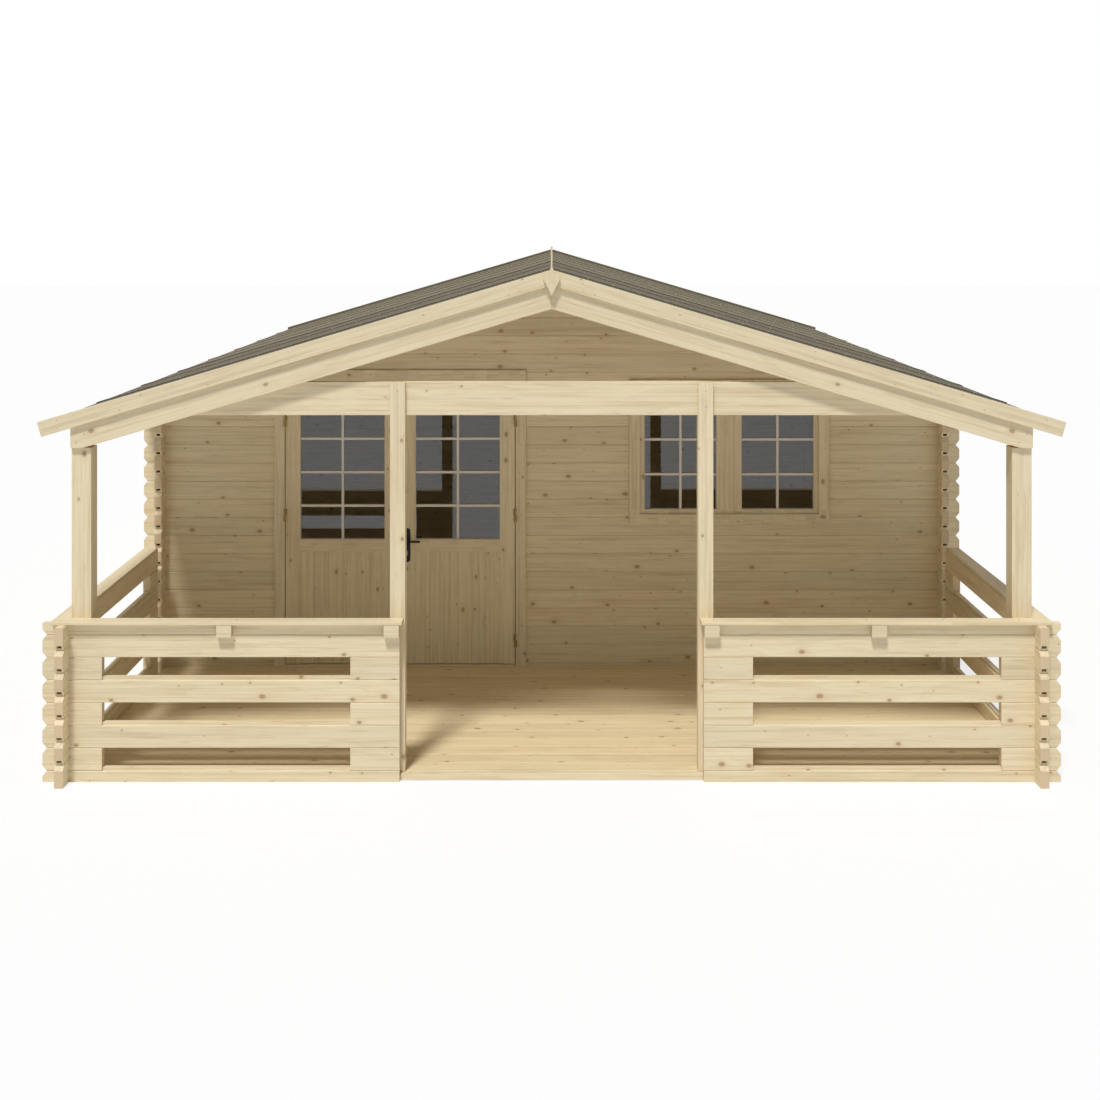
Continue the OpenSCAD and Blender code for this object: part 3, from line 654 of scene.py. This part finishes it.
class CABIN_OT_frame_wood(DressOperator):
    """Finish the posts, beams, rafters, purlins and trim boards."""

    bl_idname = "cabin.frame_wood"
    bl_label = "Posts, beams and trim"

    # Axis, width and start of the strips that get a tone of their own
    POST_STRIPS = ("x", 0.09, 0.02)
    BEAM_STRIPS = ("z", 0.19, -0.06)
    PURLIN_STRIPS = ("x", 0.4, 0.0)
    CAP_STRIPS = ("x", 2.0, -4.0)
    SLOPE_STRIPS = ("n", 0.2, 0.05)

    def execute(self, context):
        posts = spruce("post_wood", "zxy", self.POST_STRIPS, knots=0.4)
        beams = spruce("beam_wood", "xzy", self.BEAM_STRIPS, knots=0.5)
        purlins = spruce("purlin_wood", "yzx", self.PURLIN_STRIPS)
        caps = spruce("cap_wood", "xyz", self.CAP_STRIPS, knots=0.35)
        side_caps = spruce("side_cap_wood", "yxz", self.CAP_STRIPS, knots=0.35)
        dress(posts, "corner_posts", "inner_posts", "finial")
        dress(beams, "tie_beam", "cap_blocks", "entrance_sill", "door_threshold")
        dress(purlins, "eaves_beams", "ridge_purlin", "side_purlins", "eaves_boards", "floor_bearers")
        dress(caps, "front_rail_caps")
        dress(side_caps, "side_rail_caps")
        for side, name in ((-1, "left"), (1, "right")):
            slope = spruce(f"slope_wood_{name}", "sny", self.SLOPE_STRIPS, side=side, knots=0.5)
            boards = (f"front_rafter_{name}", f"front_bargeboard_{name}", f"back_bargeboard_{name}")
            dress(slope, *boards)
            soften(sizes().trim_edge, *boards)
        soften(sizes().beam_edge, "corner_posts", "inner_posts", "tie_beam", "entrance_sill")
        soften(sizes().trim_edge, "front_rail_caps", "side_rail_caps", "cap_blocks", "eaves_boards", "finial")
        return {"FINISHED"}


class CABIN_OT_floors(DressOperator):
    """Lay the veranda and cabin floors in boards, screwed down to the bearers."""

    bl_idname = "cabin.floors"
    bl_label = "Floor boards"

    BEARERS = 6
    BEARER_SPAN_SHARE = 0.9
    SCREW_SHARES = (0.22, 0.78)
    PROUD_SHARE = 0.5

    def execute(self, context):
        size, look = sizes(), finishes()
        zinc = fastener_metal()
        for node in ("veranda_floor", "cabin_floor"):
            low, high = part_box(node)
            wood = spruce(f"{node}_wood", "xyz", ("y", size.floor_board, low.y), tint=look.floor_tint)
            self.lay(node, low, high, wood, zinc)
        return {"FINISHED"}

    def lay(self, node, low, high, wood, zinc):
        size = sizes()
        boards, screws = bmesh.new(), bmesh.new()
        half = size.board_joint / 2
        reach = (high.x - low.x) * self.BEARER_SPAN_SHARE / 2
        middle = (low.x + high.x) / 2
        bearers = steps(middle - reach, middle + reach, 2 * reach / (self.BEARERS - 1))
        for start, end in spans(low.y, high.y, size.floor_board):
            add_board(boards, (low.x, start + half, low.z), (high.x, end - half, high.z), size.board_edge)
            for x in bearers:
                for share in self.SCREW_SHARES:
                    spot = (x, start + (end - start) * share, high.z - size.head_rise)
                    add_head(screws, spot, (0, 0, 1), size.screw_radius, size.head_rise * self.PROUD_SHARE)
        add_piece(f"{node}_boards", boards, wood, "cabin", (node,))
        add_piece(f"{node}_screws", screws, zinc, "cabin")


class CABIN_OT_roof(DressOperator):
    """Board the two roof slopes and lay the felt with its nails."""

    bl_idname = "cabin.roof"
    bl_label = "Roof boards and felt"

    TURN_UP = 0.017
    TURN_THICK = 0.003
    TURN_SHORT = 0.004
    NAIL_FROM_RIDGE = 0.06
    NAIL_FROM_EAVES = 0.03
    NAIL_SPACING = 0.15
    NAIL_IN_LAP = 0.025
    LAST_LAP = 0.1

    def execute(self, context):
        for side, name in ((-1, "left"), (1, "right")):
            self.board(side, name)
            self.lay_felt(side, name)
        return {"FINISHED"}

    def slope(self, side):
        """Shear that drops a level layer along one roof slope."""
        fall = Matrix.Identity(4)
        fall[2][0] = -side * math.tan(sizes().roof_pitch)
        return fall

    def board(self, side, name):
        size = sizes()
        node = f"roof_boards_{name}"
        low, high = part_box(node)
        reach = max(abs(low.x), abs(high.x))
        thick = high.z - low.z - reach * math.tan(size.roof_pitch)
        wood = spruce(f"roof_board_wood_{name}", "syn", ("y", size.roof_board, low.y), side=side)
        shape = bmesh.new()
        half = size.board_joint / 2
        for start, end in spans(low.y, high.y, size.roof_board):
            corner = (min(low.x, high.x), start + half, high.z - thick)
            add_board(shape, corner, (max(low.x, high.x), end - half, high.z), size.board_edge)
        bmesh.ops.transform(shape, matrix=self.slope(side), verts=shape.verts)
        add_piece(f"roof_boarding_{name}", shape, wood, "cabin", (node,))

    def lay_felt(self, side, name):
        size = sizes()
        node = f"roof_felt_{name}"
        felt = roofing_felt(f"felt_{name}")
        dress(felt, node)
        self.cover_back(side, name, felt)
        low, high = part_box(node)
        reach = max(abs(low.x), abs(high.x))
        rise = math.tan(size.roof_pitch)
        normal = (side * math.sin(size.roof_pitch), 0, math.cos(size.roof_pitch))
        shape = bmesh.new()
        for y in self.laps(low.y, high.y):
            for x in steps(self.NAIL_FROM_RIDGE, reach - self.NAIL_FROM_EAVES, self.NAIL_SPACING):
                spot = (side * x, y, high.z - x * rise)
                add_head(shape, spot, normal, size.clout_radius, size.head_rise)
        add_piece(f"felt_nails_{name}", shape, fastener_metal(), "cabin")

    def cover_back(self, side, name, felt):
        """Turns the felt up the back bargeboard and over its top edge."""
        low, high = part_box(f"back_bargeboard_{name}")
        reach = max(abs(low.x), abs(high.x)) - self.TURN_SHORT
        left, right = sorted((0.0, side * reach))
        thick = self.TURN_THICK
        shape = bmesh.new()
        add_board(shape, (left, low.y - thick, high.z - self.TURN_UP), (right, low.y, high.z), thick / 4)
        add_board(shape, (left, low.y - thick, high.z), (right, high.y, high.z + thick), thick / 4)
        bmesh.ops.transform(shape, matrix=self.slope(side), verts=shape.verts)
        add_piece(f"back_felt_edge_{name}", shape, felt, "cabin")

    def laps(self, low, high):
        """Lines of nails along the laps between the felt sheets."""
        count = math.floor((high - low) / FELT_SHEET)
        edges = [low + FELT_SHEET * i for i in range(1, count + 1)]
        return [edge + self.NAIL_IN_LAP for edge in edges if edge < high - self.LAST_LAP]


def add_glazing(shape, low, high, size, rows, pane_low, pane_high):
    """Adds the beads and bars on both faces of a pane that shows between two corners in X and Z."""
    half = size.bar_width / 2
    middle = (low[0] + high[0]) / 2
    for near, far in ((pane_low - size.bar_depth, pane_low), (pane_high, pane_high + size.bar_depth)):
        bead = size.bead_width
        corners = [
            ((low[0], low[1]), (low[0] + bead, high[1])),
            ((high[0] - bead, low[1]), (high[0], high[1])),
            ((low[0] + bead, low[1]), (high[0] - bead, low[1] + bead)),
            ((low[0] + bead, high[1] - bead), (high[0] - bead, high[1])),
            ((middle - half, low[1] + bead), (middle + half, high[1] - bead)),
        ]
        for row in range(1, rows):
            z = low[1] + (high[1] - low[1]) * row / rows
            corners.append(((low[0] + bead, z - half), (middle - half, z + half)))
            corners.append(((middle + half, z - half), (high[0] - bead, z + half)))
        for (x0, z0), (x1, z1) in corners:
            add_board(shape, (x0, near, z0), (x1, far, z1), size.bar_edge)


def bar_wood(name):
    """Paler planed wood of the glazing bars, which run both ways, with fine fibres only."""
    graph, look = Graph(bpy.data.materials.new(name)), finishes()
    place = graph.node("TexCoord", output="Object")
    parts = graph.node("SeparateXYZ", None, {0: place})
    x, z = parts, parts.other("Z")
    fibres = noise(graph, vector(graph, x * 300.0, 0.0, z * 300.0), 3.0, 0.6)
    clouds = noise(graph, vector(graph, x * 6.0, 0.0, z * 6.0), 2.0)
    tone = 0.9 + (fibres - 0.5) * 0.14 + (clouds - 0.5) * 0.16
    base = blend(graph, 1.0, rgba(look.bar_tint), grey(graph, tone), "MULTIPLY")
    return surface(graph, {
        "Base Color": base,
        "Roughness": 0.5 + (fibres - 0.5) * 0.2,
        "Normal": bump(graph, fibres, 0.12, 0.0004),
    })


class CABIN_OT_door(DressOperator):
    """Finish the door and fit its glazing bars."""

    bl_idname = "cabin.door"
    bl_label = "Door leaves, frame and bars"

    LOCK_RAIL = 0.08
    PANEL_BOARDS = 6
    FRAME_BOARD = 0.07

    def execute(self, context):
        self.finish_frame()
        for side in ("left", "right"):
            self.finish_leaf(side)
        return {"FINISHED"}

    def finish_frame(self):
        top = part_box("left_door_leaf")[1].z
        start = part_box("door_frame")[0].x

        def head(axes):
            return axes["z"] > top, Grain("x", "z", "y")

        wood = spruce("door_frame_wood", "zxy", ("x", self.FRAME_BOARD, start), cross=head, knots=0.35)
        dress(wood, "door_frame")
        soften(sizes().trim_edge, "door_frame", "door_threshold")

    def finish_leaf(self, side):
        size = sizes()
        seat = size.glass_seat
        pane_low, pane_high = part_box(f"{side}_door_glass")
        left, right = pane_low.x + seat, pane_high.x - seat
        bottom, top = pane_low.z + seat, pane_high.z - seat

        def rails(axes):
            between = (axes["x"] > left) * (axes["x"] < right)
            rail = (axes["z"] > top) + (axes["z"] > bottom - self.LOCK_RAIL) * (axes["z"] < bottom)
            return between * rail, Grain("x", "z", "y")

        width = (right - left) / self.PANEL_BOARDS
        strips = ("x", width, left)
        wood = spruce(f"{side}_leaf_wood", "zxy", strips, cross=rails, tone=0.015, knots=0.6)
        dress(wood, f"{side}_door_leaf")
        shape = bmesh.new()
        add_glazing(shape, (left, bottom), (right, top), size, size.door_rows, pane_low.y, pane_high.y)
        add_piece(f"{side}_door_bars", shape, bar_wood(f"{side}_bar_wood"), f"{side}_leaf")


class CABIN_OT_window(DressOperator):
    """Finish the window and fit its glazing bars."""

    bl_idname = "cabin.window"
    bl_label = "Window frame, sashes and bars"

    SASH = 0.045
    MULLION = 0.066

    def execute(self, context):
        size = sizes()
        seat = size.glass_seat
        low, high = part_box("window_sashes")
        pane_low, pane_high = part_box("window_glass")
        bottom, top = pane_low.z + seat, pane_high.z - seat

        def level(axes):
            return (axes["z"] > top) + (axes["z"] < bottom), Grain("x", "z", "y")

        wood = spruce("window_wood", "zxy", ("x", self.MULLION, low.x), cross=level, knots=0.35)
        dress(wood, "window_frame", "window_sashes")
        soften(size.trim_edge, "window_frame", "window_sashes")
        middle = (low.x + high.x) / 2
        inner = self.MULLION / 2 + self.SASH
        outer = (high.x - low.x) / 2 - self.SASH
        shape = bmesh.new()
        for left, right in ((middle - outer, middle - inner), (middle + inner, middle + outer)):
            add_glazing(shape, (left, bottom), (right, top), size, size.window_rows, pane_low.y, pane_high.y)
        add_piece("window_bars", shape, bar_wood("window_bar_wood"), "cabin")
        return {"FINISHED"}


class CABIN_OT_glass(DressOperator):
    """Finish the panes."""

    bl_idname = "cabin.glass"
    bl_label = "Glass"

    def execute(self, context):
        dress(pane_glass("pane_glass"), "left_door_glass", "right_door_glass", "window_glass")
        return {"FINISHED"}


class CABIN_OT_hardware(DressOperator):
    """Finish the hinges and the handle, and add the handle plates' screws and the lock cylinder's ends."""

    bl_idname = "cabin.hardware"
    bl_label = "Hinges and handle"

    PLATE_END = 0.011
    LOCK_DROP = 0.073
    LOCK_RADIUS = 0.0085
    TAIL_HALF_SHARE = 0.55
    TAIL_LOW_SHARE = 2.6
    TAIL_HIGH_SHARE = 0.7
    TAIL_EDGE_SHARE = 0.4

    def execute(self, context):
        look = finishes()
        brass = metal("brass", look.brass, 0.42, 1.0, 0.2)
        bronze = metal("bronze", look.bronze, 0.42, 0.75, 0.25)
        dress(brass, "frame_hinges", "left_leaf_hinges", "right_leaf_hinges")
        dress(bronze, "handle_plates", "door_lever")
        low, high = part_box("handle_plates")
        lever_low, lever_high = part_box("door_lever")
        axis = (lever_low.z + lever_high.z) / 2
        middle = (low.x + high.x) / 2
        screws, locks = bmesh.new(), bmesh.new()
        for face, out in ((low.y, -1), (high.y, 1)):
            for z in (low.z + self.PLATE_END, high.z - self.PLATE_END):
                add_head(screws, (middle, face, z), (0, out, 0), sizes().screw_radius, sizes().head_rise)
            self.add_lock(locks, Vector((middle, face, axis - self.LOCK_DROP)), out)
        add_piece("plate_screws", screws, bronze, "right_leaf")
        add_piece("lock_cylinder", locks, brass, "right_leaf")
        return {"FINISHED"}

    def add_lock(self, shape, place, out):
        """Adds the end of a lock cylinder: a round dished face over a narrow tail."""
        rise = sizes().head_rise
        radius = self.LOCK_RADIUS
        add_head(shape, place, (0, out, 0), radius, rise)
        faces = sorted((place.y - out * rise, place.y + out * rise))
        half = radius * self.TAIL_HALF_SHARE
        add_board(
            shape, (place.x - half, faces[0], place.z - radius * self.TAIL_LOW_SHARE),
            (place.x + half, faces[1], place.z - radius * self.TAIL_HIGH_SHARE), rise * self.TAIL_EDGE_SHARE
        )


class CABIN_OT_fixings(DressOperator):
    """Drive nails and screws into the bargeboards, caps, casings, rafters and posts."""

    bl_idname = "cabin.fixings"
    bl_label = "Nails and screws"

    CASING = 0.066
    CASING_FOOT = 0.08
    CASING_CORNER = 0.2
    BARGE_DROPS = (0.020, 0.060)
    BARGE_FROM_RIDGE = 0.16
    BARGE_FROM_EAVES = 0.10
    BARGE_SPACING = 0.55
    CAP_FROM_ENTRANCE = 0.05
    CAP_FROM_CORNER = 0.16
    SIDE_CAP_FROM_CORNER = 0.20
    SIDE_CAP_FROM_WALL = 0.06
    ROW_SPACING = 0.4
    CORNER_POST = 0.1
    INNER_POST = 0.077
    RAFTER_PAIR_ASIDE = 0.02
    RAFTER_PAIR_LEVELS = (0.03, 0.07)
    TIE_PAIR_EDGE = 0.045
    PAIR_SPACING = 0.06

    def execute(self, context):
        for name, drive in (
            ("bargeboard_nails", self.nail_bargeboards), ("cap_screws", self.screw_caps),
            ("casing_nails", self.nail_casings), ("frame_screws", self.screw_frame),
        ):
            shape = bmesh.new()
            drive(shape, sizes())
            add_piece(name, shape, fastener_metal(), "cabin")
        return {"FINISHED"}

    def nail_bargeboards(self, shape, size):
        """Two rows along each front bargeboard."""
        rise = math.tan(size.roof_pitch)
        low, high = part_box("front_bargeboard_right")
        reach = (self.BARGE_FROM_RIDGE, high.x - self.BARGE_FROM_EAVES)
        for side in (-1, 1):
            for drop in self.BARGE_DROPS:
                ends = [(side * x, low.y, high.z - x * rise - drop) for x in reach]
                add_row(shape, *ends, self.BARGE_SPACING, (0, -1, 0), size.nail_radius)

    def screw_caps(self, shape, size):
        """A row along the middle of each rail's cap."""
        low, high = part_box("front_rail_caps")
        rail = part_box("front_rail_right")[0]
        side_low, side_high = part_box("side_rail_caps")
        front = (rail.x + self.CAP_FROM_ENTRANCE, high.x - self.CAP_FROM_CORNER)
        back = (side_low.y + self.SIDE_CAP_FROM_CORNER, side_high.y - self.SIDE_CAP_FROM_WALL)
        for side in (-1, 1):
            ends = [(side * x, (low.y + high.y) / 2, high.z) for x in front]
            add_row(shape, *ends, self.ROW_SPACING, (0, 0, 1), size.screw_radius)
            middle = side * (side_high.x - (high.y - low.y) / 2)
            ends = [(middle, y, side_high.z) for y in back]
            add_row(shape, *ends, self.ROW_SPACING, (0, 0, 1), size.screw_radius)

    def nail_casings(self, shape, size):
        """A row in each upright and head of the casings, and in the window's lower board."""
        half = self.CASING / 2
        for node in ("door_frame", "window_frame"):
            low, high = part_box(node)
            left, right = low.x + half, high.x - half
            levels = [high.z - half]
            rows = [((x, low.z + self.CASING_FOOT), (x, levels[0])) for x in (left, right)]
            if node == "window_frame":
                levels.append(low.z + half)
            rows += [((left + self.CASING_CORNER, z), (right - self.CASING_CORNER, z)) for z in levels]
            for ends in rows:
                places = [(x, low.y, z) for x, z in ends]
                add_row(shape, *places, self.ROW_SPACING, (0, -1, 0), size.nail_radius)

    def screw_frame(self, shape, size):
        """Two screws where a rafter meets its corner post, and two in each inner post's tongue."""
        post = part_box("corner_posts")[1]
        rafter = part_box("front_rafter_right")[0]
        inner_low, inner_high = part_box("inner_posts")
        tie_low, tie_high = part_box("tie_beam")
        levels = (tie_low.z + self.TIE_PAIR_EDGE, tie_high.z - self.TIE_PAIR_EDGE)
        for side in (-1, 1):
            x = side * (post.x - self.CORNER_POST / 2)
            aside = (x - self.RAFTER_PAIR_ASIDE, x + self.RAFTER_PAIR_ASIDE)
            ends = [(across, rafter.y, post.z + up) for across, up in zip(aside, self.RAFTER_PAIR_LEVELS)]
            add_row(shape, *ends, self.PAIR_SPACING, (0, -1, 0), size.screw_radius)
            x = side * (inner_high.x - self.INNER_POST / 2)
            ends = [(x, inner_low.y, z) for z in levels]
            add_row(shape, *ends, self.PAIR_SPACING, (0, -1, 0), size.screw_radius)


class CABIN_OT_stage(DressOperator):
    """Set up the floor, the light and the camera."""

    bl_idname = "cabin.stage"
    bl_label = "Stage"

    def execute(self, context):
        settings = stage()
        self.add_floor(settings)
        self.add_light(settings)
        self.add_world(settings)
        self.add_camera(settings)
        context.scene.view_settings.view_transform = "Standard"
        return {"FINISHED"}

    def seen(self, graph):
        """1 on rays that show a surface: from the camera, a reflection or through glass."""
        path = graph.node("LightPath", output="Is Camera Ray")
        shown = path + path.other("Is Glossy Ray") + path.other("Is Transmission Ray")
        return shown > 0.5

    def add_floor(self, settings):
        graph = Graph(bpy.data.materials.new("floor"))
        plain = graph.node("BsdfDiffuse", None, {"Color": rgba(settings.floor_colour)})
        white = graph.node("Emission", None, {"Color": (1, 1, 1, 1), "Strength": 1.0})
        factor = self.seen(graph) * settings.floor_white
        mixed = graph.node("MixShader", None, {0: factor, 1: plain, 2: white})
        graph.node("OutputMaterial", None, {"Surface": mixed})
        shape = bmesh.new()
        bmesh.ops.create_grid(shape, x_segments=4, y_segments=4, size=settings.floor_size / 2)
        mesh = bpy.data.meshes.new("floor")
        shape.to_mesh(mesh)
        shape.free()
        mesh.materials.append(graph.owner)
        floor = bpy.data.objects.new("floor", mesh)
        bpy.context.scene.collection.objects.link(floor)

    def add_light(self, settings):
        light = bpy.data.lights.new("key", "SUN")
        light.energy = settings.key_strength
        light.angle = settings.key_softness
        lamp = bpy.data.objects.new("key", light)
        lamp.rotation_euler = Vector(settings.key_from).to_track_quat("Z", "Y").to_euler()
        bpy.context.scene.collection.objects.link(lamp)

    def add_world(self, settings):
        world = bpy.data.worlds.new("surroundings")
        graph = Graph(world)
        shown = self.seen(graph)
        strength = shown * (1.0 - settings.sky_strength) + settings.sky_strength
        background = graph.node("Background", None, {"Color": (1, 1, 1, 1), "Strength": strength})
        graph.node("OutputWorld", None, {"Surface": background})
        bpy.context.scene.world = world

    def add_camera(self, settings):
        data = bpy.data.cameras.new("camera")
        data.lens = settings.camera_lens
        data.shift_x, data.shift_y = settings.camera_shift
        data.clip_end = settings.floor_size
        camera = bpy.data.objects.new("camera", data)
        camera.location = settings.camera_place
        camera.rotation_euler = (math.radians(90), 0, 0)
        bpy.context.scene.collection.objects.link(camera)
        bpy.context.scene.camera = camera


class CABIN_PT_panel(bpy.types.Panel):
    """Lists the operators and the sizes and colours that they use."""

    bl_idname = "CABIN_PT_panel"
    bl_label = "Log Cabin"
    bl_space_type = "VIEW_3D"
    bl_region_type = "UI"
    bl_category = "Cabin"

    def draw(self, context):
        for operator in OPERATORS:
            self.layout.operator(operator.bl_idname)
        for group in (sizes(), finishes(), stage()):
            box = self.layout.box()
            for name in group.__annotations__:
                box.prop(group, name)


OPERATORS = (
    CABIN_OT_logs,
    CABIN_OT_frame_wood,
    CABIN_OT_floors,
    CABIN_OT_roof,
    CABIN_OT_door,
    CABIN_OT_window,
    CABIN_OT_glass,
    CABIN_OT_hardware,
    CABIN_OT_fixings,
    CABIN_OT_stage,
)
CLASSES = (CabinSizes, CabinFinishes, CabinStage, *OPERATORS, CABIN_PT_panel)


def register():
    for cls in CLASSES:
        bpy.utils.register_class(cls)
    bpy.types.Scene.cabin_sizes = PointerProperty(type=CabinSizes)
    bpy.types.Scene.cabin_finishes = PointerProperty(type=CabinFinishes)
    bpy.types.Scene.cabin_stage = PointerProperty(type=CabinStage)


def unregister():
    del bpy.types.Scene.cabin_stage
    del bpy.types.Scene.cabin_finishes
    del bpy.types.Scene.cabin_sizes
    for cls in reversed(CLASSES):
        bpy.utils.unregister_class(cls)


def main():
    register()
    for operator in OPERATORS:
        group, name = operator.bl_idname.split(".")
        getattr(getattr(bpy.ops, group), name)()


if __name__ == "__main__":
    main()
